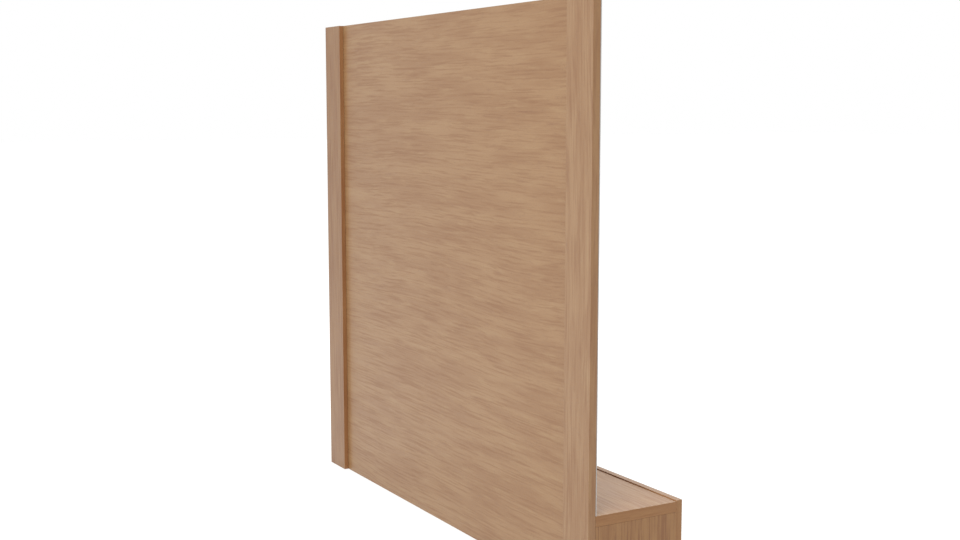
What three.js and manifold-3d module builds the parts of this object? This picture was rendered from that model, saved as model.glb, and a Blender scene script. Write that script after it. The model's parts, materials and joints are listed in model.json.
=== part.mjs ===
// A floor-standing folding study carrel, standing stowed.
// A framed oak screen carries a pinboard on its front, and stands on a low base box with two drawers.
// The worktop hangs down in front of the screen on two folding brackets and swings up to sitting height.
// Two privacy wings lie flat on the screen above it and swing forward on piano hinges.
//
// Millimetres. +Z is up, the user sits on the -Y side, +X is the user's right.
// The origin is at the middle of the footprint, on the floor.
// "Depth" below is measured forward, towards -Y, from the rear faces of the posts.

import * as THREE from 'three';
import { mergeVertices } from 'three/addons/utils/BufferGeometryUtils.js';
import Module from 'manifold-3d';

const wasm = await Module();
wasm.setup();

// ---------------------------------------------------------------- driving dimensions

const WIDTH = 1281;
const HEIGHT = 1219;
const DEPTH = 237.8;
const HALF_WIDTH = WIDTH / 2;
const GAP = 0.3; // between pieces that touch

// screen
const POST_WIDTH = 92;
const SCREEN_THICKNESS = 17.4; // posts and back panel together, front to rear
const POST_STEP = 11.6; // the back panel lies this far in from the posts' rear faces
const PANEL_LAP = 8; // the back panel's edge let into each post
const PINBOARD_FRONT = 20.1;
const UPRIGHT_INNER = 480;
const UPRIGHT_OUTER = 578;
const UPRIGHT_THICKNESS = 17;
const UPRIGHT_FRONT = PINBOARD_FRONT + GAP + UPRIGHT_THICKNESS;
const RAIL_HEIGHT = 60;
const MID_RAIL_LOW = 640;

// base box
const BASE_HEIGHT = 182.2;
const BASE_TOP_THICKNESS = 22.7;
const BOARD = 18;
const BASE_BOTTOM = [22, 34];
const CARCASS_REAR = SCREEN_THICKNESS + GAP;
const DRAWER_FRONT_REAR = 223.6;
const CARCASS_FRONT = DRAWER_FRONT_REAR - GAP;
const DRAWER_LIP = 2.4; // a drawer front stands this far above the base top
const KICK_RAIL = [190, 208];

// drawers
const RUNNER_SPACE = 13;
const DRAWER_SIDE = 12;
const DRAWER_REAR = 40;
const DRAWER_BOX = [45, 145];
const DRAWER_BOTTOM = [51.3, 57.3];
const GROOVE_DEPTH = 6;
const FINGER_HOLE = { radius: 18, height: 120 };
const FRONT_FLOOR_GAP = 12;
const DRAWER_REVEAL = 1.5; // half the gap between the two drawer fronts

// worktop, as it hangs
const WORKTOP_HALF = 545;
const WORKTOP_DEPTH = 440;
const WORKTOP_THICKNESS = 22;
const LIPPING = 12;
const PIVOT = { depth: 50, height: 706 };
const WORKTOP_REAR = PIVOT.depth + 9;
const WORKTOP_TOP_EDGE = PIVOT.height + 10;

// folding brackets, measured outward from the screen's middle
const BRACKET_PLATE = 2.5;
const LEG_FLANGE = 501;
const STRUT_PLANE = [505, 509];
const ARM_WEB = 511.5;
const ARM_FLANGE_WIDTH = 18.5;
const ARM_LENGTH = 416;
const STRUT_DROP = 150; // from the worktop pivot down to the strut pivot
const STRUT_LENGTH = 250;
const PIN_RADIUS = 4;
const PIN_HOLE_RADIUS = 4.15;
const EYE_RADIUS = 8;
const STRUT_PIVOT_HEIGHT = PIVOT.height - STRUT_DROP;

// wings, as they lie folded
const WING_INNER = 137;
const WING_OUTER = 577;
const WING_REAR = 41;
const WING_THICKNESS = 15.5;
const WING_HEIGHT = [745, 1195];
const HINGE_AXIS = { across: 582.5, depth: 39.2 };
const HINGE_LEAF = 1.2;
const HINGE_LEAF_INNER = 556;
const KNUCKLE_RADIUS = 3.2;
const HINGE_PIN_RADIUS = 1.4;
const HINGE_BORE_RADIUS = 1.55;
const KNUCKLES = 9;
const KNUCKLE_GAP = 0.4;
const HINGE_HEIGHT = [750, 1190];

const SIDES = [['left', -1], ['right', 1]];

// ---------------------------------------------------------------- materials

const finish = (color, roughness, metalness = 0) => () =>
  new THREE.MeshStandardMaterial({ color, roughness, metalness });

const oakVeneer = finish('#b19074', 0.55);
const oakEdge = finish('#9d7959', 0.6);
const birch = finish('#cbb08c', 0.6);
const felt = finish('#b6ada6', 0.95);
const wingFelt = finish('#8f8a86', 0.95);
const paintedSteel = finish('#c9c9c6', 0.45, 0.3);
const zincSteel = finish('#a7abae', 0.35, 1);
const rubber = finish('#2c2b2a', 0.8);

// ---------------------------------------------------------------- shape helpers

const carrel = new THREE.Group();

const frontY = (depth) => DEPTH / 2 - depth;

function addPart(name, geometry, material, parent = carrel) {
  const mesh = new THREE.Mesh(geometry, material());
  mesh.name = name;
  parent.add(mesh);
  return mesh;
}

// A square-edged board from its spans across, in depth and in height.
function board(name, material, across, depth, height, parent = carrel) {
  const size = [across, depth, height].map(([a, b]) => Math.abs(b - a));
  const mesh = addPart(name, new THREE.BoxGeometry(...size), material, parent);
  mesh.position.set(
    (across[0] + across[1]) / 2,
    frontY((depth[0] + depth[1]) / 2),
    (height[0] + height[1]) / 2,
  );
  return mesh;
}

function boxGeometry(across, depth, height) {
  const geometry = new THREE.BoxGeometry(
    Math.abs(across[1] - across[0]),
    Math.abs(depth[1] - depth[0]),
    Math.abs(height[1] - height[0]),
  );
  geometry.translate(
    (across[0] + across[1]) / 2,
    frontY((depth[0] + depth[1]) / 2),
    (height[0] + height[1]) / 2,
  );
  return geometry;
}

const outline = (points) => new THREE.Shape(points.map(([u, v]) => new THREE.Vector2(u, v)));

const extruded = (shape, length) =>
  new THREE.ExtrudeGeometry(shape, { depth: length, bevelEnabled: false, curveSegments: 20 });

// A plan outline of [across, depth] points, raised between two heights.
function extrudeUp(points, [low, high]) {
  const shape = outline(points.map(([across, depth]) => [across, frontY(depth)]));
  return extruded(shape, high - low).translate(0, 0, low);
}

// A side outline in (Y, Z), carried across between two places.
function extrudeAcross(shape, [from, to]) {
  const start = Math.min(from, to);
  const turn = new THREE.Matrix4().makeBasis(
    new THREE.Vector3(0, 1, 0),
    new THREE.Vector3(0, 0, 1),
    new THREE.Vector3(1, 0, 0),
  );
  return extruded(shape, Math.abs(to - from)).applyMatrix4(turn).translate(start, 0, 0);
}

// A front outline in (X, Z), carried forward between two depths.
function extrudeForward(shape, [from, to]) {
  const turn = new THREE.Matrix4().makeBasis(
    new THREE.Vector3(1, 0, 0),
    new THREE.Vector3(0, 0, 1),
    new THREE.Vector3(0, -1, 0),
  );
  return extruded(shape, to - from).applyMatrix4(turn).translate(0, frontY(from), 0);
}

// A round bar lying across, on the line at this depth and height.
function crossRod(radius, [from, to], depth, height) {
  const geometry = new THREE.CylinderGeometry(radius, radius, Math.abs(to - from), 16);
  return geometry.rotateZ(Math.PI / 2).translate((from + to) / 2, frontY(depth), height);
}

// A round bar standing up at this place.
function upright(radius, across, depth, [low, high]) {
  const geometry = new THREE.CylinderGeometry(radius, radius, high - low, 12);
  return geometry.rotateX(Math.PI / 2).translate(across, frontY(depth), (low + high) / 2);
}

function toSolid(geometry) {
  const bare = geometry.clone();
  bare.deleteAttribute('normal');
  bare.deleteAttribute('uv');
  const merged = mergeVertices(bare, 1e-4);
  return new wasm.Manifold(new wasm.Mesh({
    numProp: 3,
    vertProperties: new Float32Array(merged.attributes.position.array),
    triVerts: new Uint32Array(merged.index.array),
  }));
}

function toGeometry(solid) {
  const mesh = solid.getMesh();
  const geometry = new THREE.BufferGeometry();
  geometry.setAttribute('position', new THREE.BufferAttribute(mesh.vertProperties, 3));
  geometry.setIndex(new THREE.BufferAttribute(mesh.triVerts, 1));
  geometry.computeVertexNormals();
  return geometry;
}

const union = (geometries) =>
  geometries.map(toSolid).reduce((whole, piece) => whole.add(piece));

// ---------------------------------------------------------------- screen

function buildScreen() {
  const postInner = HALF_WIDTH - POST_WIDTH;
  const panelEdge = postInner + PANEL_LAP;
  for (const [label, side] of SIDES) {
    const section = [
      [side * HALF_WIDTH, 0],
      [side * postInner, 0],
      [side * postInner, POST_STEP - GAP],
      [side * (panelEdge + GAP), POST_STEP - GAP],
      [side * (panelEdge + GAP), SCREEN_THICKNESS],
      [side * HALF_WIDTH, SCREEN_THICKNESS],
    ];
    addPart(`post_${label}`, extrudeUp(section, [0, HEIGHT]), oakVeneer);
    board(`upright_${label}`, oakVeneer, [side * UPRIGHT_INNER, side * UPRIGHT_OUTER],
      [PINBOARD_FRONT + GAP, UPRIGHT_FRONT], [BASE_HEIGHT + GAP, HEIGHT]);
  }
  board('back_panel', oakVeneer, [-panelEdge, panelEdge],
    [POST_STEP, SCREEN_THICKNESS], [0, HEIGHT]);
  board('pinboard', felt, [-HALF_WIDTH, HALF_WIDTH],
    [SCREEN_THICKNESS + GAP, PINBOARD_FRONT], [BASE_HEIGHT + GAP, HEIGHT]);
  const railEnd = UPRIGHT_INNER - GAP;
  board('top_rail', oakVeneer, [-railEnd, railEnd],
    [PINBOARD_FRONT + GAP, UPRIGHT_FRONT], [HEIGHT - RAIL_HEIGHT, HEIGHT]);
  board('mid_rail', oakVeneer, [-railEnd, railEnd],
    [PINBOARD_FRONT + GAP, UPRIGHT_FRONT], [MID_RAIL_LOW, MID_RAIL_LOW + RAIL_HEIGHT]);
}

// ---------------------------------------------------------------- base box

function levellerGeometry() {
  const stemTop = BASE_BOTTOM[0] - GAP;
  const profile = [[0, 0], [16, 0], [16, 4], [13, 6.5], [6, 7.5], [4, 9], [4, stemTop], [0, stemTop]];
  const points = profile.map(([radius, height]) => new THREE.Vector2(radius, height));
  return new THREE.LatheGeometry(points, 24).rotateX(Math.PI / 2);
}

function buildBase() {
  const endInner = HALF_WIDTH - BOARD;
  const underTop = BASE_HEIGHT - BASE_TOP_THICKNESS;
  const carcass = [CARCASS_REAR, CARCASS_FRONT];
  board('base_top', oakVeneer, [-HALF_WIDTH, HALF_WIDTH], carcass, [underTop, BASE_HEIGHT]);
  board('base_bottom', birch, [-endInner + GAP, endInner - GAP], carcass, BASE_BOTTOM);
  board('base_divider', birch, [-BOARD / 2, BOARD / 2], carcass,
    [BASE_BOTTOM[1] + GAP, underTop - GAP]);
  board('kick_rail', oakEdge, [-endInner + GAP, endInner - GAP], KICK_RAIL,
    [0, BASE_BOTTOM[0] - GAP]);
  for (const [label, side] of SIDES) {
    board(`base_end_${label}`, oakVeneer, [side * endInner, side * HALF_WIDTH], carcass,
      [0, underTop - GAP]);
    for (const [place, depth] of [['rear', 45], ['front', 165]]) {
      const foot = addPart(`leveller_${place}_${label}`, levellerGeometry(), zincSteel);
      foot.position.set(side * 560, frontY(depth), 0);
    }
  }
}

// ---------------------------------------------------------------- drawers and their runners

// A drawer side with a groove for the bottom along its inner face.
// "face" is the inner face's place, and "outward" points away from the drawer's inside.
function drawerSide(face, outward) {
  const [low, high] = DRAWER_BOX;
  const groove = [DRAWER_BOTTOM[0] - GAP, DRAWER_BOTTOM[1] + GAP];
  const outer = face + outward * DRAWER_SIDE;
  const floor = face + outward * GROOVE_DEPTH;
  const section = outline([
    [outer, low], [face, low],
    [face, groove[0]], [floor, groove[0]], [floor, groove[1]], [face, groove[1]],
    [face, high], [outer, high],
  ]);
  return extrudeForward(section, [DRAWER_REAR, CARCASS_FRONT]);
}

// A rolled channel lying against "face", open in the "open" direction.
function runnerChannel(face, open, reach, height, depth) {
  const wall = 1.5;
  const back = face + open * GAP;
  const web = back + open * wall;
  const lip = face + open * reach;
  const [low, high] = height;
  const section = outline([
    [back, low], [lip, low], [lip, low + wall], [web, low + wall],
    [web, high - wall], [lip, high - wall], [lip, high], [back, high],
  ]);
  return extrudeForward(section, depth);
}

function buildDrawer(label, side) {
  const drawer = new THREE.Group();
  carrel.add(drawer);
  const boxInner = BOARD / 2 + RUNNER_SPACE;
  const boxOuter = HALF_WIDTH - BOARD - RUNNER_SPACE;
  const faces = { inner: boxInner + DRAWER_SIDE, outer: boxOuter - DRAWER_SIDE };

  const frontTop = BASE_HEIGHT + DRAWER_LIP;
  const front = outline([
    [side * DRAWER_REVEAL, FRONT_FLOOR_GAP], [side * HALF_WIDTH, FRONT_FLOOR_GAP],
    [side * HALF_WIDTH, frontTop], [side * DRAWER_REVEAL, frontTop],
  ]);
  const hole = new THREE.Path();
  hole.absarc(side * (faces.inner + faces.outer) / 2, FINGER_HOLE.height, FINGER_HOLE.radius,
    0, 2 * Math.PI);
  front.holes.push(hole);
  addPart(`drawer_front_${label}`, extrudeForward(front, [DRAWER_FRONT_REAR, DEPTH]),
    oakVeneer, drawer);

  addPart(`drawer_side_inner_${label}`, drawerSide(side * faces.inner, -side), birch, drawer);
  addPart(`drawer_side_outer_${label}`, drawerSide(side * faces.outer, side), birch, drawer);
  board(`drawer_back_${label}`, birch,
    [side * (faces.inner + GAP), side * (faces.outer - GAP)],
    [DRAWER_REAR, DRAWER_REAR + DRAWER_SIDE], [DRAWER_BOTTOM[1] + GAP, DRAWER_BOX[1]], drawer);
  const intoGroove = GROOVE_DEPTH - GAP;
  board(`drawer_bottom_${label}`, birch,
    [side * (faces.inner - intoGroove), side * (faces.outer + intoGroove)],
    [DRAWER_REAR, CARCASS_FRONT], DRAWER_BOTTOM, drawer);

  const places = [
    ['inner', side * BOARD / 2, side, side * boxInner],
    ['outer', side * (HALF_WIDTH - BOARD), -side, side * boxOuter],
  ];
  for (const [place, carcassFace, open, drawerFace] of places) {
    addPart(`runner_${place}_${label}`,
      runnerChannel(carcassFace, open, 9.5, [78, 112], [22, 212]), zincSteel);
    addPart(`drawer_slide_${place}_${label}`,
      runnerChannel(drawerFace, -open, 10.4, [81, 109], [44, 214]), zincSteel, drawer);
  }
}

// ---------------------------------------------------------------- worktop and folding brackets

// The leg screwed to the upright, with the worktop pin and the strut pin riveted into its flange.
function bracketLeg(side) {
  const flange = [side * LEG_FLANGE, side * (LEG_FLANGE + BRACKET_PLATE)];
  const top = PIVOT.height + EYE_RADIUS;
  const bottom = STRUT_PIVOT_HEIGHT - 20;
  const rear = UPRIGHT_FRONT + GAP;
  const front = PIVOT.depth + EYE_RADIUS;
  const corner = 6;
  const flangeShape = outline([
    [frontY(rear), bottom], [frontY(front - corner), bottom], [frontY(front), bottom + corner],
    [frontY(front), top - corner], [frontY(front - corner), top], [frontY(rear), top],
  ]);
  const armOuter = ARM_WEB + BRACKET_PLATE + GAP;
  const strutFace = STRUT_PLANE[1] + GAP;
  const collar = PIN_RADIUS + 1.8;
  const rods = [
    [PIN_RADIUS, LEG_FLANGE, armOuter + 1.7, PIVOT.height],
    [collar, LEG_FLANGE, ARM_WEB - GAP, PIVOT.height],
    [collar, armOuter, armOuter + 1.7, PIVOT.height],
    [PIN_RADIUS, LEG_FLANGE, strutFace + 1.5, STRUT_PIVOT_HEIGHT],
    [collar, LEG_FLANGE, STRUT_PLANE[0] - GAP, STRUT_PIVOT_HEIGHT],
    [collar, strutFace, strutFace + 1.5, STRUT_PIVOT_HEIGHT],
  ];
  return toGeometry(union([
    boxGeometry([side * LEG_FLANGE, side * (LEG_FLANGE + 23)],
      [rear, rear + BRACKET_PLATE], [bottom, top]),
    extrudeAcross(flangeShape, flange),
    ...rods.map(([radius, from, to, height]) =>
      crossRod(radius, [side * from, side * to], PIVOT.depth, height)),
  ]));
}

// The angle under the worktop, slotted where the strut slides along it.
function bracketArm(side) {
  const y = frontY(PIVOT.depth);
  const rearY = frontY(PIVOT.depth - EYE_RADIUS);
  const worktopY = frontY(WORKTOP_REAR - GAP);
  const top = PIVOT.height + EYE_RADIUS;
  const bottom = PIVOT.height - ARM_LENGTH;
  const web = new THREE.Shape();
  web.moveTo(worktopY, bottom);
  web.lineTo(rearY, bottom);
  web.lineTo(rearY, PIVOT.height);
  web.absarc(y, PIVOT.height, EYE_RADIUS, 0, Math.PI / 2);
  web.lineTo(worktopY, top);

  const hole = new THREE.Path();
  hole.absarc(y, PIVOT.height, PIN_HOLE_RADIUS, 0, 2 * Math.PI);
  const slotHalf = PIN_RADIUS + 0.6;
  const slotFar = STRUT_PIVOT_HEIGHT - STRUT_LENGTH;
  const slotNear = PIVOT.height - Math.sqrt(STRUT_LENGTH ** 2 - STRUT_DROP ** 2);
  const slot = new THREE.Path();
  slot.absarc(y, slotNear, slotHalf, 0, Math.PI);
  slot.absarc(y, slotFar, slotHalf, Math.PI, 2 * Math.PI);
  web.holes.push(hole, slot);

  const webSpan = [side * ARM_WEB, side * (ARM_WEB + BRACKET_PLATE)];
  const flangeSpan = [side * ARM_WEB, side * (ARM_WEB + ARM_FLANGE_WIDTH)];
  const flangeDepth = [WORKTOP_REAR - GAP - BRACKET_PLATE, WORKTOP_REAR - GAP];
  return toGeometry(union([
    extrudeAcross(web, webSpan),
    boxGeometry(flangeSpan, flangeDepth, [bottom, top]),
  ]));
}

// The strut hangs from its own pivot and carries a slider button at its free end.
function strutGeometry(side) {
  const y = frontY(PIVOT.depth);
  const end = STRUT_PIVOT_HEIGHT - STRUT_LENGTH;
  const half = 7;
  const bar = new THREE.Shape();
  bar.absarc(y, STRUT_PIVOT_HEIGHT, EYE_RADIUS, -Math.acos(half / EYE_RADIUS),
    Math.PI + Math.acos(half / EYE_RADIUS));
  bar.absarc(y, end, half, Math.PI, 2 * Math.PI);
  const hole = new THREE.Path();
  hole.absarc(y, STRUT_PIVOT_HEIGHT, PIN_HOLE_RADIUS, 0, 2 * Math.PI);
  bar.holes.push(hole);
  const buttonSpan = [side * (STRUT_PLANE[1] - 1), side * (ARM_WEB - 0.6)];
  return toGeometry(union([
    extrudeAcross(bar, [side * STRUT_PLANE[0], side * STRUT_PLANE[1]]),
    crossRod(PIN_RADIUS, buttonSpan, PIVOT.depth, end),
  ]));
}

function bumperGeometry() {
  const length = WORKTOP_REAR - UPRIGHT_FRONT - 2 * GAP;
  const profile = [[0, 0], [9, 0], [9, 3], [7, length - 2], [5.5, length], [0, length]];
  const points = profile.map(([radius, along]) => new THREE.Vector2(radius, along));
  return new THREE.LatheGeometry(points, 20).rotateX(Math.PI);
}

function buildWorktop() {
  const worktop = new THREE.Group();
  carrel.add(worktop);
  const depth = [WORKTOP_REAR, WORKTOP_REAR + WORKTOP_THICKNESS];
  const across = [-WORKTOP_HALF, WORKTOP_HALF];
  const low = WORKTOP_TOP_EDGE - WORKTOP_DEPTH;
  board('worktop_board', oakVeneer, across, depth, [low + LIPPING + GAP, WORKTOP_TOP_EDGE], worktop);
  board('worktop_lipping', oakEdge, across, depth, [low, low + LIPPING], worktop);
  for (const [label, side] of SIDES) {
    addPart(`bracket_leg_${label}`, bracketLeg(side), paintedSteel);
    addPart(`bracket_arm_${label}`, bracketArm(side), paintedSteel, worktop);
    addPart(`strut_${label}`, strutGeometry(side), paintedSteel);
    const bumper = addPart(`bumper_${label}`, bumperGeometry(), rubber);
    bumper.position.set(side * (UPRIGHT_INNER + 10), frontY(UPRIGHT_FRONT + GAP), low + 24);
  }
}

// ---------------------------------------------------------------- wings

// One half of a piano hinge. The fixed half carries the pin and the even knuckles.
function hingeHalf(side, fixed) {
  const { across, depth } = HINGE_AXIS;
  const pitch = (HINGE_HEIGHT[1] - HINGE_HEIGHT[0]) / KNUCKLES;
  const span = (i) => [
    HINGE_HEIGHT[0] + i * pitch + KNUCKLE_GAP / 2,
    HINGE_HEIGHT[0] + (i + 1) * pitch - KNUCKLE_GAP / 2,
  ];
  const indices = Array.from({ length: KNUCKLES }, (_, i) => i);
  const own = indices.filter((i) => (i % 2 === 0) === fixed);
  const other = indices.filter((i) => (i % 2 === 0) !== fixed);
  const leafOffset = fixed ? -GAP - HINGE_LEAF : GAP;
  const leaf = boxGeometry([side * HINGE_LEAF_INNER, side * across],
    [depth + leafOffset, depth + leafOffset + HINGE_LEAF], HINGE_HEIGHT);
  const clearance = other.map((i) => {
    const [low, high] = span(i);
    return upright(KNUCKLE_RADIUS + GAP, side * across, depth,
      [low - KNUCKLE_GAP, high + KNUCKLE_GAP]);
  });
  const knuckles = own.map((i) => upright(KNUCKLE_RADIUS, side * across, depth, span(i)));
  const pin = upright(fixed ? HINGE_PIN_RADIUS : HINGE_BORE_RADIUS, side * across, depth,
    fixed ? HINGE_HEIGHT : [HINGE_HEIGHT[0] - 1, HINGE_HEIGHT[1] + 1]);
  const body = toSolid(leaf).subtract(union(clearance)).add(union(knuckles));
  return toGeometry(fixed ? body.add(toSolid(pin)) : body.subtract(toSolid(pin)));
}

function buildWing(label, side) {
  const wing = new THREE.Group();
  carrel.add(wing);
  board(`wing_board_${label}`, oakVeneer, [side * WING_INNER, side * WING_OUTER],
    [WING_REAR, WING_REAR + WING_THICKNESS], WING_HEIGHT, wing);
  board(`wing_lining_${label}`, wingFelt, [side * (WING_INNER + 5), side * (HINGE_LEAF_INNER - 6)],
    [UPRIGHT_FRONT + 1, WING_REAR - GAP], [WING_HEIGHT[0] + 7, WING_HEIGHT[1] - 45], wing);
  addPart(`hinge_fixed_${label}`, hingeHalf(side, true), zincSteel);
  addPart(`hinge_moving_${label}`, hingeHalf(side, false), zincSteel, wing);
  board(`catch_${label}`, paintedSteel, [side * 150, side * 190],
    [UPRIGHT_FRONT + GAP, WING_REAR - 1.1], [1166, 1182]);
  board(`strike_${label}`, zincSteel, [side * 155, side * 185],
    [WING_REAR - 0.9, WING_REAR - GAP], [1168, 1180], wing);
}

// ---------------------------------------------------------------- assembly

buildScreen();
buildBase();
buildWorktop();
for (const [label, side] of SIDES) {
  buildDrawer(label, side);
  buildWing(label, side);
}

export default carrel;
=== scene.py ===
"""The looks of the folding study carrel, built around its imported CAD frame.

The CAD nodes stay as the shapes of the boards and the hardware, with softened edges and procedural
finishes. The felt sheets are rebuilt with soft edges, and the screw heads are added. Lengths are in
metres.
"""

import json
import math

import bmesh
import bpy
from mathutils import Matrix, Vector

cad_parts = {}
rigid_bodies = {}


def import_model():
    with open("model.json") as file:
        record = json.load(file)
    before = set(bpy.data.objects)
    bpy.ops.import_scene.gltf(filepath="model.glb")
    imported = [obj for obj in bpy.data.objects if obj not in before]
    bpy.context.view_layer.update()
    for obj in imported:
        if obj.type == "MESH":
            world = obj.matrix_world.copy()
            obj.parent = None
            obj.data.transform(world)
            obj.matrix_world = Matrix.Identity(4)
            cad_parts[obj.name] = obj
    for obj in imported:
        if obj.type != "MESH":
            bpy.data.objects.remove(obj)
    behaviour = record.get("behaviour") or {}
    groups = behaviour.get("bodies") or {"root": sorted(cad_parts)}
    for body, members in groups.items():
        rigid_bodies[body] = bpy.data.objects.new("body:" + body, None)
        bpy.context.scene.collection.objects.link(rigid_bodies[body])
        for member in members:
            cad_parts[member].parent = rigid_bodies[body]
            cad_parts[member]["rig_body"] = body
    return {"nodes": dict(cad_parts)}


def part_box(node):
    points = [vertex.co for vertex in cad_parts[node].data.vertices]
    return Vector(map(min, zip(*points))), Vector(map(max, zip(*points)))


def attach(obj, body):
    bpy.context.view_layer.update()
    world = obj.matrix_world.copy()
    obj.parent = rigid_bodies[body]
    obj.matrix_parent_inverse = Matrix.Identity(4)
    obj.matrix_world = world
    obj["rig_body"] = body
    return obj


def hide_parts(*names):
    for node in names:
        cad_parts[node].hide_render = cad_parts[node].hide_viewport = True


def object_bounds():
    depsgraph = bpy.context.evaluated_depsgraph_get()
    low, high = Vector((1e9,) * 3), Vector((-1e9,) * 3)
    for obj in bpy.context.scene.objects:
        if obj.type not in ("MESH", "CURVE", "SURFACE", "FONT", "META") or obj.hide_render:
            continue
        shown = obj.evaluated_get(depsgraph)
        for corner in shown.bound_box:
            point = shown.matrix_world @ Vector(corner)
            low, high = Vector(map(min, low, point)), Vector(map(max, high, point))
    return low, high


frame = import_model()
cad_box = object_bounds()

SIDES = (("left", -1), ("right", 1))
ROOT = "screen_and_base"

# the view: a 50 mm lens aimed at the middle of the object from behind its left end
CAMERA_AZIMUTH = 239.97
CAMERA_ELEVATION = 6.843
CAMERA_DISTANCE = 2.6536 * (cad_box[1].z - cad_box[0].z)
CAMERA_LENS = 50

# square lamps: angles in degrees, power in watts
SOFTBOXES = {
    "key": {"azimuth": 35, "elevation": 48, "distance": 4.2, "size": 2.6, "power": 165},
    "rear fill": {"azimuth": 213, "elevation": 25, "distance": 9.0, "size": 4.5, "power": 600},
}

FLOOR_HALF = 40.0
FLOOR_DROP = 0.0005  # below the feet
FLOOR_GREY = (0.28, 0.28, 0.28, 1.0)
FLOOR_GLOW = 0.76  # with the light on the grey, this makes the floor as white as the background


# ---------------------------------------------------------------- camera, light and floor

def aim_inwards(thing, azimuth, elevation, distance):
    """Puts a camera or a lamp that far from the middle of the object, facing it."""
    low, high = cad_box
    a, e = math.radians(azimuth), math.radians(elevation)
    back = Vector((math.sin(a) * math.cos(e), -math.cos(a) * math.cos(e), math.sin(e)))
    thing.location = (low + high) / 2 + back * distance
    thing.rotation_mode = "QUATERNION"
    thing.rotation_quaternion = (-back).to_track_quat("-Z", "Y")
    bpy.context.scene.collection.objects.link(thing)


def add_camera():
    data = bpy.data.cameras.new("camera")
    data.lens = CAMERA_LENS
    camera = bpy.data.objects.new("camera", data)
    aim_inwards(camera, CAMERA_AZIMUTH, CAMERA_ELEVATION, CAMERA_DISTANCE)
    bpy.context.scene.camera = camera


def add_world():
    world = bpy.data.worlds.new("studio")
    world.use_nodes = True
    background = world.node_tree.nodes["Background"]
    background.inputs["Color"].default_value = (1.0, 1.0, 1.0, 1.0)
    background.inputs["Strength"].default_value = 1.0
    bpy.context.scene.world = world
    bpy.context.scene.view_settings.view_transform = "Standard"


def add_softbox(name, azimuth, elevation, distance, size, power):
    """A square lamp, aimed at the middle of the object."""
    data = bpy.data.lights.new(name, "AREA")
    data.shape = "SQUARE"
    data.size = size
    data.energy = power
    aim_inwards(bpy.data.objects.new(name, data), azimuth, elevation, distance)


def add_floor():
    mesh = bpy.data.meshes.new("floor")
    corners = [(x * FLOOR_HALF, y * FLOOR_HALF, 0) for x, y in ((-1, -1), (1, -1), (1, 1), (-1, 1))]
    mesh.from_pydata(corners, [], [(0, 1, 2, 3)])
    floor = bpy.data.objects.new("floor", mesh)
    floor.location.z = -FLOOR_DROP
    bpy.context.scene.collection.objects.link(floor)
    graph = Graph("pale_floor")
    graph.surface["Base Color"].default_value = FLOOR_GREY
    graph.surface["Roughness"].default_value = 0.9
    graph.surface["Specular IOR Level"].default_value = 0.1
    graph.surface["Emission Color"].default_value = (1.0, 1.0, 1.0, 1.0)
    graph.surface["Emission Strength"].default_value = FLOOR_GLOW
    mesh.materials.append(graph.material)


# ---------------------------------------------------------------- shader graph helpers

# parts of a unit normal: the least along an axis that a face looks along, and the largest part of it
# where an arris starts and where it is full
FACING_LIMIT = 0.7
ARRIS_NORMALS = (0.985, 0.8)


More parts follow.
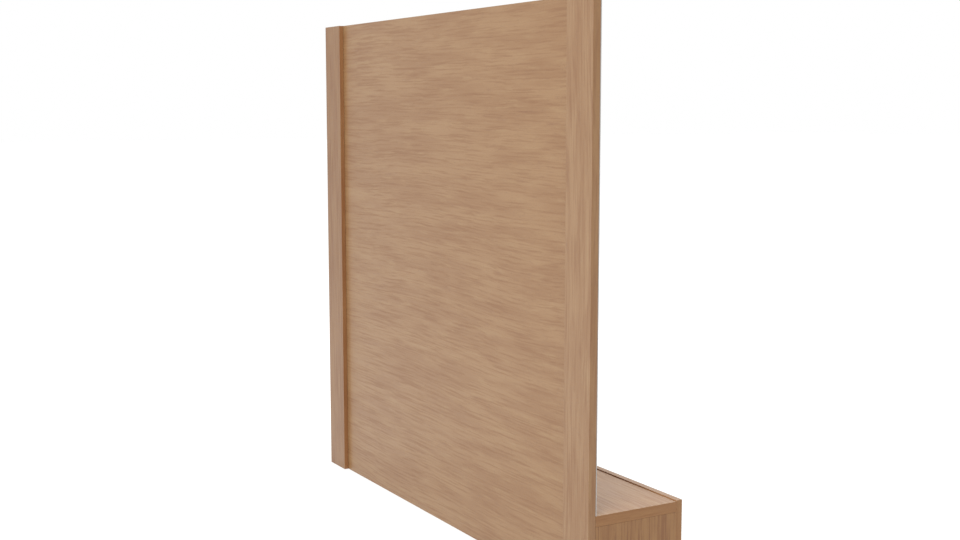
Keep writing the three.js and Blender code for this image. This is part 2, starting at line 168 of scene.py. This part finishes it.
class Graph:
    """A material's node tree, with short calls for the nodes that the finishes share."""

    def __init__(self, name):
        self.material = bpy.data.materials.new(name)
        self.material.use_nodes = True
        self.tree = self.material.node_tree
        self.surface = self.tree.nodes["Principled BSDF"].inputs
        self.coordinates = self.tree.nodes.new("ShaderNodeTexCoord")

    def add(self, kind, inputs, **settings):
        made = self.tree.nodes.new(kind)
        for key, value in settings.items():
            setattr(made, key, value)
        for key, value in inputs.items():
            if isinstance(value, bpy.types.NodeSocket):
                self.tree.links.new(value, made.inputs[key])
            else:
                made.inputs[key].default_value = value
        return made

    def math(self, operation, a, b=0.0):
        return self.add("ShaderNodeMath", {0: a, 1: b}, operation=operation).outputs[0]

    def combine(self, x, y, z):
        return self.add("ShaderNodeCombineXYZ", {0: x, 1: y, 2: z}).outputs[0]

    def split(self, vector):
        return self.add("ShaderNodeSeparateXYZ", {0: vector}).outputs

    def noise(self, vector, scale=1.0, detail=2.0, roughness=0.5):
        inputs = {"Vector": vector, "Scale": scale, "Detail": detail, "Roughness": roughness}
        return self.add("ShaderNodeTexNoise", inputs).outputs[0]

    def ramp(self, value, low, high, to_low=0.0, to_high=1.0):
        inputs = {0: value, 1: low, 2: high, 3: to_low, 4: to_high}
        return self.add("ShaderNodeMapRange", inputs, interpolation_type="SMOOTHSTEP").outputs[0]

    def mix(self, share, a, b):
        return self.add("ShaderNodeMix", {0: share, 6: a, 7: b}, data_type="RGBA").outputs[2]

    def mix_vectors(self, share, a, b):
        return self.add("ShaderNodeMix", {0: share, 4: a, 5: b}, data_type="VECTOR").outputs[1]

    def bump(self, height, strength, distance):
        inputs = {"Height": height, "Strength": strength, "Distance": distance}
        normal = self.add("ShaderNodeBump", inputs).outputs[0]
        self.tree.links.new(normal, self.surface["Normal"])

    def link(self, value, socket):
        self.tree.links.new(value, self.surface[socket])

    def stretched(self, place, length, width):
        """Coordinates in which a feature of that length and width, in metres, is about one unit."""
        along, wide, thick = place
        return self.combine(
            self.math("MULTIPLY", along, 1 / length),
            self.math("MULTIPLY", wide, 1 / width),
            self.math("MULTIPLY", thick, 1 / width),
        )

    def facing(self, way):
        """1 where the surface faces that way, 0 elsewhere. "X" is either way along X, "+Y" only one."""
        out = self.split(self.coordinates.outputs["Normal"])["XYZ".index(way[-1])]
        if way.startswith("-"):
            out = self.math("MULTIPLY", out, -1.0)
        elif not way.startswith("+"):
            out = self.math("ABSOLUTE", out)
        return self.math("GREATER_THAN", out, FACING_LIMIT)

    def arris(self):
        """1 on the softened edges of a square-edged board, 0 on its faces."""
        x, y, z = self.split(self.coordinates.outputs["Normal"])
        largest = self.math("MAXIMUM", self.math("ABSOLUTE", x), self.math("ABSOLUTE", y))
        largest = self.math("MAXIMUM", largest, self.math("ABSOLUTE", z))
        return self.ramp(largest, *ARRIS_NORMALS)


def rgb(red, green, blue):
    return (red, green, blue, 1.0)


def shade(colour, factor):
    return tuple(c * factor for c in colour[:3]) + (1.0,)


def tint(colour, tone):
    return tuple(c * t for c, t in zip(colour, tone)) + (1.0,)


# ---------------------------------------------------------------- oak

OAK_MID = rgb(0.214, 0.108, 0.043)
OAK_LIGHT = rgb(0.243, 0.133, 0.057)
OAK_STREAK = rgb(0.168, 0.072, 0.027)
OAK_FLECK = rgb(0.162, 0.070, 0.032)
OAK_YELLOW = rgb(0.262, 0.154, 0.068)
OAK_PORE = rgb(0.120, 0.053, 0.020)
PLAIN_TONE = (1.0, 1.0, 1.0)

# each feature of the grain: its length and width, and the detail and roughness of its noise
OAK_FEATURES = {
    "figure": (0.24, 0.036, 3.0, 0.55),
    "streak": (0.125, 0.0048, 3.0, 0.5),
    "fleck": (0.070, 0.0085, 3.0, 0.6),
    "patch": (0.10, 0.012, 3.0, 0.6),
    "pore": (0.012, 0.0006, 1.0, 0.5),
    "ray": (0.035, 0.0020, 2.0, 0.5),
}

# waves to the metre, and how far they push the grain aside
SLOW_WAVE = (1.7, 0.036)
QUICK_WAVE = (16.0, 0.004)

CUT_SHIFT = (3.17, 1.31, 0.77)  # from one seed's cut to the next: along the grain, across and into it


def along_grain(graph, axis):
    """The object's own coordinates, turned so that the first one runs along the grain."""
    x, y, z = graph.split(graph.coordinates.outputs["Object"])
    order = {"X": (x, y, z), "Y": (y, x, z), "Z": (z, x, y)}[axis]
    return graph.combine(*order)


def own_cut(graph, place, seed):
    """A board's own cut of the grain: slow waves lean its lines, and quick ones make them waver."""
    along, wide, thick = graph.split(place)
    shift_along, shift_wide, shift_thick = (seed * shift for shift in CUT_SHIFT)
    along = graph.math("ADD", along, shift_along)
    straight = graph.combine(along, wide, thick)
    slow = graph.math("MULTIPLY", graph.noise(straight, scale=SLOW_WAVE[0], detail=1.0), SLOW_WAVE[1])
    quick = graph.math("MULTIPLY", graph.noise(straight, scale=QUICK_WAVE[0], detail=2.0), QUICK_WAVE[1])
    lean = graph.math("ADD", slow, quick)
    wide = graph.math("ADD", graph.math("ADD", wide, lean), shift_wide)
    thick = graph.math("ADD", graph.math("ADD", thick, lean), shift_thick)
    return along, wide, thick


def oak_features(graph, place, coarse):
    """The noises of the grain. "coarse" widens the figure and the streaks."""
    features = {}
    for name, (length, width, detail, roughness) in OAK_FEATURES.items():
        if name in ("figure", "streak"):
            width *= coarse
        stretched = graph.stretched(place, length, width)
        features[name] = graph.noise(stretched, detail=detail, roughness=roughness)
    return features


def oak_colour(graph, features, tone, figured):
    """Pale and dark oak by the figure, then patches, streaks, flecks, rays, pores and worn edges."""
    ground = graph.ramp(features["figure"], 0.36, 0.64)
    worn = graph.math("MULTIPLY", graph.arris(), graph.ramp(features["streak"], 0.35, 0.65, 0.15, 0.5))
    layers = (
        (graph.ramp(features["patch"], 0.52, 0.76, 0.0, 0.65), OAK_YELLOW),
        (graph.ramp(features["streak"], 0.45, 0.72, 0.0, 0.62 * figured), OAK_STREAK),
        (graph.ramp(features["fleck"], 0.60, 0.78, 0.0, 0.45 * figured), OAK_FLECK),
        (graph.ramp(features["ray"], 0.58, 0.80, 0.0, 0.30), OAK_YELLOW),
        (graph.ramp(features["pore"], 0.62, 0.74, 0.0, 0.45), OAK_PORE),
        (worn, OAK_STREAK),
    )
    colour = graph.mix(ground, tint(OAK_MID, tone), tint(OAK_LIGHT, tone))
    for share, laid_over in layers:
        colour = graph.mix(share, colour, tint(laid_over, tone))
    return colour


def oak(name, grain, seed, tone=PLAIN_TONE, bands=(), gloss=0.0, figured=1.0, coarse=1.0):
    """Lacquered oak veneer, with its grain along one axis.

    "bands" lists the faces with a grain of their own: the way they face, their grain and their tone;
    several boards use these tones for painted shade and painted light on single faces.
    "tone" colours the whole board, "figured" deepens its dark streaks, "coarse" widens them, and a
    positive "gloss" makes it smoother.
    """
    graph = Graph(name)
    place = along_grain(graph, grain)
    masks = [graph.facing(way) for way, _, _ in bands]
    for mask, (_, band_grain, _) in zip(masks, bands):
        place = graph.mix_vectors(mask, place, along_grain(graph, band_grain))
    features = oak_features(graph, own_cut(graph, place, seed), coarse)

    colour = oak_colour(graph, features, tone, figured)
    for mask, (_, _, band_tone) in zip(masks, bands):
        inputs = {0: mask, 6: colour, 7: band_tone}
        colour = graph.add("ShaderNodeMix", inputs, data_type="RGBA", blend_type="MULTIPLY").outputs[2]
    graph.link(colour, "Base Color")
    graph.link(graph.ramp(features["streak"], 0.30, 0.75, 0.33 - gloss, 0.46 - gloss), "Roughness")
    raised = graph.math("MULTIPLY", features["streak"], 0.5)
    relief = graph.math("SUBTRACT", raised, graph.ramp(features["pore"], 0.60, 0.74))
    graph.bump(relief, strength=0.25, distance=0.0003)
    return graph.material


# ---------------------------------------------------------------- other finishes

# the length and width of each feature of the birch's grain, and of the lines on the zinc
PLY_FIGURE = (0.26, 0.011)
PLY_FIBRE = (0.030, 0.0010)
ZINC_LINE = (1 / 45, 1 / 1400)

PLY_LAYER = 0.0014


def birch_ply(name, grain, layers, seed):
    """Birch plywood: the grain runs along one axis, and the glued layers are stacked along another."""
    graph = Graph(name)
    along, wide, thick = graph.split(along_grain(graph, grain))
    place = (graph.math("ADD", along, seed * 1.9), wide, thick)
    figure = graph.noise(graph.stretched(place, *PLY_FIGURE), detail=3.0, roughness=0.6)
    fibre = graph.noise(graph.stretched(place, *PLY_FIBRE), detail=2.0)
    colour = graph.mix(graph.ramp(figure, 0.35, 0.7), rgb(0.49, 0.36, 0.22), rgb(0.42, 0.30, 0.17))
    colour = graph.mix(graph.ramp(fibre, 0.48, 0.80, 0.0, 0.5), colour, rgb(0.36, 0.24, 0.13))

    stack = graph.split(graph.coordinates.outputs["Object"])["XYZ".index(layers)]
    layer = graph.math("PINGPONG", graph.math("MULTIPLY", stack, 0.5 / PLY_LAYER), 1.0)
    on_edge = graph.math("SUBTRACT", 1.0, graph.facing(layers))
    dark_layer = graph.math("MULTIPLY", graph.ramp(layer, 0.55, 0.75, 0.0, 0.55), on_edge)
    graph.link(graph.mix(dark_layer, colour, rgb(0.30, 0.18, 0.09)), "Base Color")
    graph.link(graph.ramp(figure, 0.3, 0.7, 0.45, 0.62), "Roughness")
    graph.bump(fibre, strength=0.12, distance=0.0003)
    return graph.material


def felt(name, colour, fleck):
    """Pressed felt: tangled fibres with paler and darker ones mixed in."""
    graph = Graph(name)
    place = graph.coordinates.outputs["Object"]
    tangle = graph.noise(place, scale=900.0, detail=5.0, roughness=0.75)
    cloud = graph.noise(place, scale=38.0, detail=3.0, roughness=0.6)
    fibres = graph.add("ShaderNodeTexVoronoi", {"Vector": place, "Scale": 620.0},
                       feature="DISTANCE_TO_EDGE").outputs[0]
    mixed = graph.mix(graph.ramp(tangle, 0.38, 0.66), shade(colour, 0.84), shade(colour, 1.10))
    mixed = graph.mix(graph.ramp(cloud, 0.40, 0.70, 0.0, 0.22), mixed, shade(colour, 0.80))
    mixed = graph.mix(graph.ramp(fibres, 0.10, 0.0, 0.0, 0.45), mixed, fleck)
    graph.link(mixed, "Base Color")
    graph.surface["Roughness"].default_value = 0.95
    graph.surface["Specular IOR Level"].default_value = 0.2
    graph.surface["Sheen Weight"].default_value = 0.25
    graph.surface["Sheen Roughness"].default_value = 0.5
    relief = graph.math("ADD", tangle, graph.math("MULTIPLY", fibres, 0.6))
    graph.bump(relief, strength=0.5, distance=0.0005)
    return graph.material


def powder_coat(name, colour):
    """Powder-coated steel: a fine orange peel, rubbed darker along its edges."""
    graph = Graph(name)
    place = graph.coordinates.outputs["Object"]
    peel = graph.noise(place, scale=850.0, detail=2.0, roughness=0.5)
    smear = graph.noise(place, scale=30.0, detail=3.0, roughness=0.6)
    coat = graph.mix(graph.ramp(smear, 0.35, 0.7), shade(colour, 0.93), shade(colour, 1.05))
    rubbed = graph.math("MULTIPLY", graph.arris(), graph.ramp(smear, 0.45, 0.60, 0.1, 0.7))
    graph.link(graph.mix(rubbed, coat, rgb(0.23, 0.23, 0.22)), "Base Color")
    graph.link(graph.ramp(smear, 0.3, 0.7, 0.38, 0.52), "Roughness")
    graph.surface["Metallic"].default_value = 0.15
    graph.bump(peel, strength=0.12, distance=0.0003)
    return graph.material


def zinc_plate(name):
    """Zinc-plated steel, faintly mottled, with fine drawn lines along Z."""
    graph = Graph(name)
    place = graph.coordinates.outputs["Object"]
    x, y, z = graph.split(place)
    length, width = ZINC_LINE
    drawn = graph.noise(graph.combine(
        graph.math("MULTIPLY", x, 1 / width),
        graph.math("MULTIPLY", y, 1 / width),
        graph.math("MULTIPLY", z, 1 / length),
    ))
    mottle = graph.noise(place, scale=140.0, detail=3.0, roughness=0.6)
    colour = graph.mix(graph.ramp(mottle, 0.35, 0.7), rgb(0.46, 0.47, 0.48), rgb(0.36, 0.375, 0.39))
    colour = graph.mix(graph.ramp(drawn, 0.45, 0.75, 0.0, 0.3), colour, rgb(0.26, 0.27, 0.28))
    graph.link(colour, "Base Color")
    graph.surface["Metallic"].default_value = 0.9
    graph.link(graph.ramp(mottle, 0.3, 0.7, 0.30, 0.46), "Roughness")
    graph.bump(drawn, strength=0.10, distance=0.0002)
    return graph.material


def rubber(name):
    """Black rubber, dusty in places."""
    graph = Graph(name)
    place = graph.coordinates.outputs["Object"]
    grain = graph.noise(place, scale=700.0, detail=3.0, roughness=0.6)
    dust = graph.noise(place, scale=90.0, detail=3.0, roughness=0.7)
    dusty = graph.ramp(dust, 0.45, 0.75, 0.0, 0.5)
    graph.link(graph.mix(dusty, rgb(0.022, 0.021, 0.020), rgb(0.09, 0.085, 0.08)), "Base Color")
    graph.link(graph.ramp(grain, 0.3, 0.7, 0.62, 0.82), "Roughness")
    graph.bump(grain, strength=0.2, distance=0.0003)
    return graph.material


# ---------------------------------------------------------------- finishing the CAD nodes

WELD_DISTANCE = 1e-5
EDGE_ANGLE = math.radians(35)
FLAT_ANGLE = math.radians(1.5)

# how far each kind of edge is rounded over
TIGHT_EDGE = 0.00012
BOARD_EDGE = 0.0003
SOLID_EDGE = 0.0012
PLAIN_EDGE = 0.0005
COATED_EDGE = 0.0004
PLATED_EDGE = 0.0002
HINGE_EDGE = 0.00004


def soften(node, width):
    """Rounds a CAD node's edges with modifiers, and shades its round faces smoothly."""
    piece = frame["nodes"][node]
    piece.data.attributes.remove(piece.data.attributes["custom_normal"])
    piece.data.shade_smooth()
    weld = piece.modifiers.new("weld", "WELD")
    weld.merge_threshold = WELD_DISTANCE
    flat = piece.modifiers.new("flat faces", "DECIMATE")
    flat.decimate_type = "DISSOLVE"
    flat.angle_limit = FLAT_ANGLE
    round_over = piece.modifiers.new("edges", "BEVEL")
    round_over.width = width
    round_over.segments = 2
    round_over.limit_method = "ANGLE"
    round_over.angle_limit = EDGE_ANGLE
    round_over.harden_normals = True
    return piece


def finish_node(node, material, width=PLAIN_EDGE):
    piece = soften(node, width)
    piece.data.materials.clear()
    piece.data.materials.append(material)


# the tones of whole boards; the left post's and the back panel's paler, bluer tones are partly a painted
# sheen on their rear faces, and the base ends' darker tone is partly painted shade on the ends
LEFT_POST_SHEEN = (1.035, 1.09, 1.22)
RIGHT_POST = (0.87, 0.82, 0.76)
PANEL_SHEEN = (1.035, 1.065, 1.11)
BASE_TOP = (1.03, 1.02, 0.98)
BASE_END_SHADE = (0.86, 0.765, 0.56)
SOLID_OAK = (0.88, 0.82, 0.76)

# the tones of faces with a grain of their own, on top of their board's tone: the darker ends and the
# left step are painted shade, and the right step and the drawer fronts' paler backs are painted light
LEFT_STEP_SHADE = rgb(0.95, 0.80, 0.65)
RIGHT_STEP_LIGHT = rgb(1.165, 1.04, 0.97)
END_BAND_SHADE = rgb(0.90, 0.81, 0.655)
SCREEN_END_SHADE = rgb(0.89, 0.82, 0.70)
FRONT_END_SHADE = rgb(0.87, 0.77, 0.61)
FRONT_TOP = rgb(0.92, 0.88, 0.82)
BACK_PAINTED_LIGHT = rgb(1.55, 1.50, 1.60)


def finish_post(label, outward, inward, tone, step, seed):
    """The screen's end is darkened as painted shade; the step to the back panel is darker as painted
    shade on the left post and paler as painted light on the right.
    """
    # the darker end is painted shade; the step's tone comes from the caller: painted shade on the left
    # post, painted light on the right
    bands = [(outward, "Z", SCREEN_END_SHADE), (inward, "Z", step)]
    post = oak(f"oak_post_{label}", "Z", seed, tone, bands, figured=0.85)
    finish_node(f"post_{label}", post, BOARD_EDGE)


def finish_base_box():
    # the base top's darker ends are painted shade
    base_top = oak("oak_base_top", "X", 51, BASE_TOP, [("X", "Y", END_BAND_SHADE)], gloss=-0.2, figured=0.7)
    finish_node("base_top", base_top, TIGHT_EDGE)
    for i, (label, _) in enumerate(SIDES):
        # the end boards' darker tone is partly painted shade on the ends
        end = oak(f"oak_base_end_{label}", "Z", i + 5, BASE_END_SHADE, figured=1.7, coarse=0.9)
        finish_node(f"base_end_{label}", end, TIGHT_EDGE)
        # the drawer front's darker ends are painted shade, and its paler back is painted light
        bands = [("X", "Z", FRONT_END_SHADE), ("+Y", "X", BACK_PAINTED_LIGHT), ("Z", "X", FRONT_TOP)]
        front = oak(f"oak_drawer_front_{label}", "X", i + 33, bands=bands, gloss=-0.2)
        finish_node(f"drawer_front_{label}", front, BOARD_EDGE)


def finish_boards():
    """Every oak board has its own cut of veneer."""
    # the left post's paler, bluer tone is partly a painted sheen on its rear face; its step is darkened
    # as painted shade
    finish_post("left", "-X", "+X", LEFT_POST_SHEEN, LEFT_STEP_SHADE, seed=1)
    # the right post's step is lightened as painted light
    finish_post("right", "+X", "-X", RIGHT_POST, RIGHT_STEP_LIGHT, seed=2)
    finish_base_box()
    # the back panel's paler, bluer tone is partly a painted sheen
    finish_node("back_panel", oak("oak_back_panel", "X", 21, PANEL_SHEEN, figured=0.85), BOARD_EDGE)
    for i, node in enumerate(("top_rail", "mid_rail")):
        finish_node(node, oak(f"oak_{node}", "X", i + 22), BOARD_EDGE)
    for i, node in enumerate(("upright_left", "upright_right", "wing_board_left", "wing_board_right")):
        finish_node(node, oak(f"oak_{node}", "Z", i + 11), BOARD_EDGE)
    # the worktop's darker ends are painted shade
    worktop = oak("oak_worktop_board", "X", 32, bands=[("X", "Z", END_BAND_SHADE)])
    finish_node("worktop_board", worktop, BOARD_EDGE)
    for i, node in enumerate(("worktop_lipping", "kick_rail")):
        finish_node(node, oak(f"solid_oak_{node}", "X", i + 41, SOLID_OAK), SOLID_EDGE)


def finish_plywood():
    """Each piece has its grain along the first axis, and its layers stacked along the second."""
    pieces = {"base_bottom": "XZ", "base_divider": "YX"}
    for label, _ in SIDES:
        pieces[f"drawer_side_inner_{label}"] = "YX"
        pieces[f"drawer_side_outer_{label}"] = "YX"
        pieces[f"drawer_back_{label}"] = "XY"
        pieces[f"drawer_bottom_{label}"] = "XZ"
    for i, (node, (grain, layers)) in enumerate(pieces.items()):
        finish_node(node, birch_ply(f"ply_{node}", grain, layers, i + 1))


def finish_hardware(zinc):
    coat = powder_coat("light_grey_powder_coat", rgb(0.56, 0.56, 0.545))
    black = rubber("black_rubber")
    coated = ("bracket_leg", "bracket_arm", "strut", "catch")
    plated = (
        "leveller_rear", "leveller_front", "runner_inner", "runner_outer",
        "drawer_slide_inner", "drawer_slide_outer", "strike",
    )
    for label, _ in SIDES:
        for node in coated:
            finish_node(f"{node}_{label}", coat, COATED_EDGE)
        for node in plated:
            finish_node(f"{node}_{label}", zinc, PLATED_EDGE)
        for node in ("hinge_fixed", "hinge_moving"):
            finish_node(f"{node}_{label}", zinc, HINGE_EDGE)
        finish_node(f"bumper_{label}", black)


# ---------------------------------------------------------------- felt

FELT_STEP = 0.02
FELT_RADIUS = 0.0008
FELT_WAVINESS = 0.00012
FELT_ROUND = (0.0, 0.12, 0.35, 0.7, 1.0)  # places across the rounded edge, as shares of its radius


def felt_rows(low, high, radius):
    """Grid places from low to high, close together over the rounded edges."""
    inner = [low + radius, high - radius]
    count = max(1, round((inner[1] - inner[0]) / FELT_STEP))
    middle = [inner[0] + (inner[1] - inner[0]) * i / count for i in range(1, count)]
    start = [low + radius * share for share in FELT_ROUND]
    end = [high - radius * share for share in reversed(FELT_ROUND)]
    return start + middle + end


def felt_front(node, radius):
    """Gives the Y of the felt's front at any X and Z: rounded at the edges, slightly uneven inside."""
    low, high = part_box(node)

    def front(x, z):
        edge = min(x - low.x, high.x - x, z - low.z, high.z - z)
        share = min(1.0, max(0.0, edge / radius))
        drop = (1 - math.sqrt(max(0.0, 1 - (1 - share) ** 2))) * radius
        wave = FELT_WAVINESS * (1 + math.sin(41 * x + 17 * z) * math.cos(29 * z - 23 * x)) * share
        return low.y + drop + wave

    return front


def neighbours(loop):
    """Each point of a closed loop with the next one."""
    return list(zip(loop, loop[1:] + loop[:1]))


def felt_faces(across, up):
    """The faces of two grids of points, front and back, and of the strip that joins their borders."""
    back = across * up
    faces = []
    for j in range(up - 1):
        for i in range(across - 1):
            a = j * across + i
            b, c, d = a + 1, a + across + 1, a + across
            faces.append((a, b, c, d))
            faces.append((back + d, back + c, back + b, back + a))
    border = list(range(across))
    border += [j * across + across - 1 for j in range(1, up)]
    border += [(up - 1) * across + i for i in range(across - 2, -1, -1)]
    border += [j * across for j in range(up - 2, 0, -1)]
    faces += [(b, a, back + a, back + b) for a, b in neighbours(border)]
    return faces


def felt_sheet(node, material):
    """A sheet of pressed felt, in place of its CAD solid."""
    low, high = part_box(node)
    radius = min(FELT_RADIUS, (high.y - low.y) * 0.4)
    front = felt_front(node, radius)
    columns = felt_rows(low.x, high.x, radius)
    rows = felt_rows(low.z, high.z, radius)
    vertices = [(x, front(x, z), z) for z in rows for x in columns]
    vertices += [(x, high.y, z) for z in rows for x in columns]
    mesh = bpy.data.meshes.new(f"felt_{node}")
    mesh.from_pydata(vertices, [], felt_faces(len(columns), len(rows)))
    mesh.shade_smooth()
    mesh.materials.append(material)
    piece = bpy.data.objects.new(f"felt_{node}", mesh)
    bpy.context.scene.collection.objects.link(piece)
    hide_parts(node)
    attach(piece, frame["nodes"][node]["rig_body"])


def add_felt():
    light = felt("grey_felt", rgb(0.325, 0.300, 0.282), rgb(0.21, 0.19, 0.175))
    dark = felt("wing_felt", rgb(0.20, 0.185, 0.175), rgb(0.115, 0.105, 0.10))
    felt_sheet("pinboard", light)
    for label, _ in SIDES:
        felt_sheet(f"wing_lining_{label}", dark)


# ---------------------------------------------------------------- screws

# the unit screw head: rings of its turned shape as radius and height, and its cross recess
HEAD_SIDES = 32
HEAD_RINGS = ((1.0, 0.0), (1.0, 0.45), (0.86, 1.0))
CROSS_LENGTH = 0.58
CROSS_HALF_WIDTH = 0.15
CROSS_FLOOR_SIZE = 0.7
CROSS_FLOOR_HEIGHT = 0.35

# radius, and how far the head stands out
BRACKET_SCREW = (0.0036, 0.0009)
HINGE_SCREW = (0.0027, 0.00025)
SPIN_STEP = 0.7  # from one head of a row to the next, in radians

# the screws' places on the brackets' legs and arms and on the hinges' leaves
PLATE_THICKNESS = 0.0025
LEG_INSET = 0.006
LEG_END_GAP = 0.016
LEG_SCREWS = 3
ARM_INSET = 0.0065
ARM_END_GAPS = (0.02, 0.03)
ARM_SCREWS = 5
LEAF_INSET = 0.009
LEAF_END_GAP = 0.025
LEAF_SCREWS = 8
LEAF_FACE = 0.0003  # from the hinge's axis to the face that the heads sit on


def cross_corners():
    """The twelve corners of the recess, round its middle."""
    corners = []
    for quarter in range(4):
        turn = Matrix.Rotation(quarter * math.pi / 2, 3, "Z")
        for x, y in (
            (CROSS_LENGTH, -CROSS_HALF_WIDTH),
            (CROSS_LENGTH, CROSS_HALF_WIDTH),
            (CROSS_HALF_WIDTH, CROSS_HALF_WIDTH),
        ):
            corners.append(turn @ Vector((x, y, 0)))
    return corners


def join_loops(head, lower, upper):
    for (a, b), (c, d) in zip(neighbours(lower), neighbours(upper)):
        head.faces.new((a, b, d, c))


def unit_screw_head():
    """A screw head as a bmesh: radius 1, facing +Z, its top at Z = 1 with a cross recess in it."""
    head = bmesh.new()
    turns = [2 * math.pi * i / HEAD_SIDES for i in range(HEAD_SIDES)]
    rings = []
    for radius, height in HEAD_RINGS:
        points = [(radius * math.cos(turn), radius * math.sin(turn), height) for turn in turns]
        rings.append([head.verts.new(point) for point in points])
    for lower, upper in zip(rings, rings[1:]):
        join_loops(head, lower, upper)
    head.faces.new(reversed(rings[0]))
    mouth = [head.verts.new((p.x, p.y, 1.0)) for p in cross_corners()]
    narrow = [p * CROSS_FLOOR_SIZE for p in cross_corners()]
    floor = [head.verts.new((p.x, p.y, CROSS_FLOOR_HEIGHT)) for p in narrow]
    join_loops(head, mouth, floor)
    head.faces.new(floor)
    edges = [head.edges.get(pair) for pair in neighbours(rings[-1]) + neighbours(mouth)]
    bmesh.ops.triangle_fill(head, edges=edges, use_beauty=True, use_dissolve=False, normal=(0, 0, 1))
    bmesh.ops.recalc_face_normals(head, faces=head.faces)
    return head


def add_screws(name, body, places, facing, screw, material):
    """Screw heads in one piece, all facing the same way. "places" holds each head's seat."""
    radius, proud = screw
    head = unit_screw_head()
    all_heads = bmesh.new()
    turn = Vector(facing).to_track_quat("Z", "X").to_matrix().to_4x4()
    size = Matrix.Diagonal((radius, radius, proud, 1.0))
    for number, seat in enumerate(places):
        spin = Matrix.Rotation(number * SPIN_STEP, 4, "Z")
        copy = head.copy()
        bmesh.ops.transform(copy, matrix=Matrix.Translation(seat) @ turn @ spin @ size, verts=copy.verts)
        scratch = bpy.data.meshes.new("one_head")
        copy.to_mesh(scratch)
        all_heads.from_mesh(scratch)
        bpy.data.meshes.remove(scratch)
        copy.free()
    mesh = bpy.data.meshes.new(name)
    all_heads.to_mesh(mesh)
    all_heads.free()
    head.free()
    mesh.materials.append(material)
    piece = bpy.data.objects.new(name, mesh)
    bpy.context.scene.collection.objects.link(piece)
    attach(piece, body)


def spread(low, high, count):
    """That many places, evenly spaced from low to high."""
    return [low + (high - low) * i / (count - 1) for i in range(count)]


def add_bracket_screws(label, side, zinc):
    low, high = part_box(f"bracket_leg_{label}")
    x = side * (max(abs(low.x), abs(high.x)) - LEG_INSET)
    y = high.y - PLATE_THICKNESS
    places = [(x, y, z) for z in spread(high.z - LEG_END_GAP, low.z + LEG_END_GAP, LEG_SCREWS)]
    add_screws(f"screws_bracket_leg_{label}", ROOT, places, (0, -1, 0), BRACKET_SCREW, zinc)

    low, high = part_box(f"bracket_arm_{label}")
    x = side * (max(abs(low.x), abs(high.x)) - ARM_INSET)
    y = low.y + PLATE_THICKNESS
    lower_gap, upper_gap = ARM_END_GAPS
    places = [(x, y, z) for z in spread(low.z + lower_gap, high.z - upper_gap, ARM_SCREWS)]
    add_screws(f"screws_bracket_arm_{label}", "worktop", places, (0, 1, 0), BRACKET_SCREW, zinc)


def add_hinge_screws(label, side, zinc):
    low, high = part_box(f"hinge_fixed_{label}")
    x = side * (min(abs(low.x), abs(high.x)) + LEAF_INSET)
    axis = (low.y + high.y) / 2
    heights = spread(low.z + LEAF_END_GAP, high.z - LEAF_END_GAP, LEAF_SCREWS)
    fixed = [(x, axis + LEAF_FACE, z) for z in heights]
    moving = [(x, axis - LEAF_FACE, z) for z in heights]
    add_screws(f"screws_hinge_fixed_{label}", ROOT, fixed, (0, -1, 0), HINGE_SCREW, zinc)
    add_screws(f"screws_hinge_moving_{label}", f"wing_{label}", moving, (0, 1, 0), HINGE_SCREW, zinc)


# ---------------------------------------------------------------- assembly

add_camera()
add_world()
for lamp_name, lamp_settings in SOFTBOXES.items():
    add_softbox(lamp_name, **lamp_settings)
add_floor()
finish_boards()
finish_plywood()
bright_zinc = zinc_plate("bright_zinc")
finish_hardware(bright_zinc)
add_felt()
for side_label, side_sign in SIDES:
    add_bracket_screws(side_label, side_sign, bright_zinc)
    add_hinge_screws(side_label, side_sign, bright_zinc)
